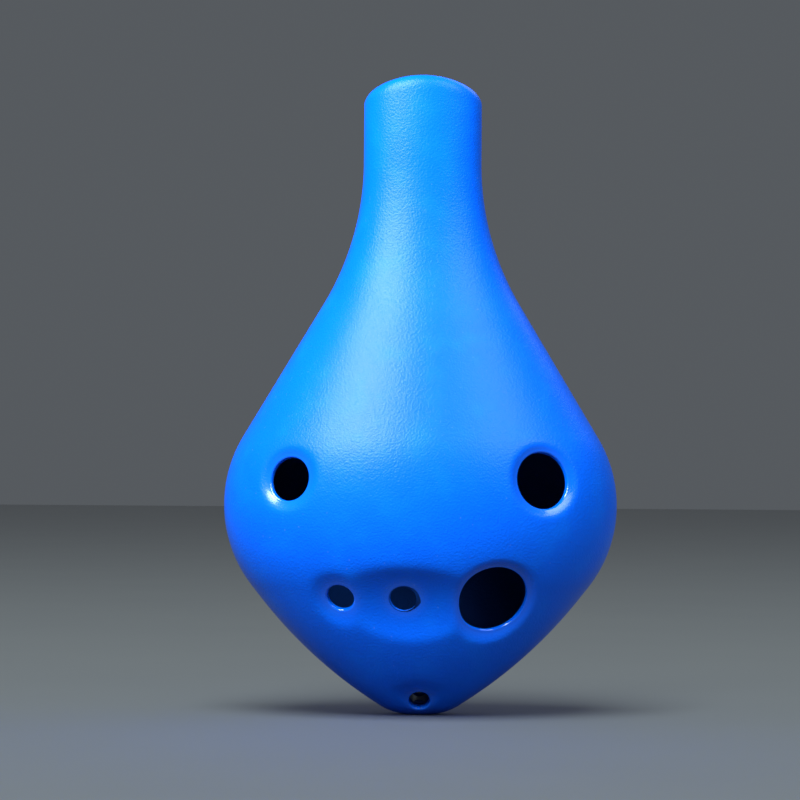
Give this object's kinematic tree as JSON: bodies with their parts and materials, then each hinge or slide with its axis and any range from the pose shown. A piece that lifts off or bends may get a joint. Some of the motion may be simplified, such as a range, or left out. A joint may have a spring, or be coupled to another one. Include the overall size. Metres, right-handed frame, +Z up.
{
  "type": "ocarina",
  "caption": "Hand-held teardrop in-line ocarina: hollow moulded body with finger and thumb holes, a flat beak mouthpiece with windway, a rear voicing window and a lanyard hole.",
  "frame": {"origin": "bottom of the tip, on the parting plane between the two shells, where the tip rests in a stand", "axes": "+Z up the long axis towards the mouthpiece, -Y out of the finger side, +Y out of the thumb side, +X to the right as seen from the finger side"},
  "size_m": [0.0852, 0.044, 0.138],
  "materials": {
    "shell_plastic": "satin moulded, fine texture",
    "windway_plastic": "smooth moulded"
  },
  "bodies": {
    "root": {"front_shell": "shell_plastic", "back_shell": "shell_plastic", "windway_block": "windway_plastic"}
  },
  "joints": []
}
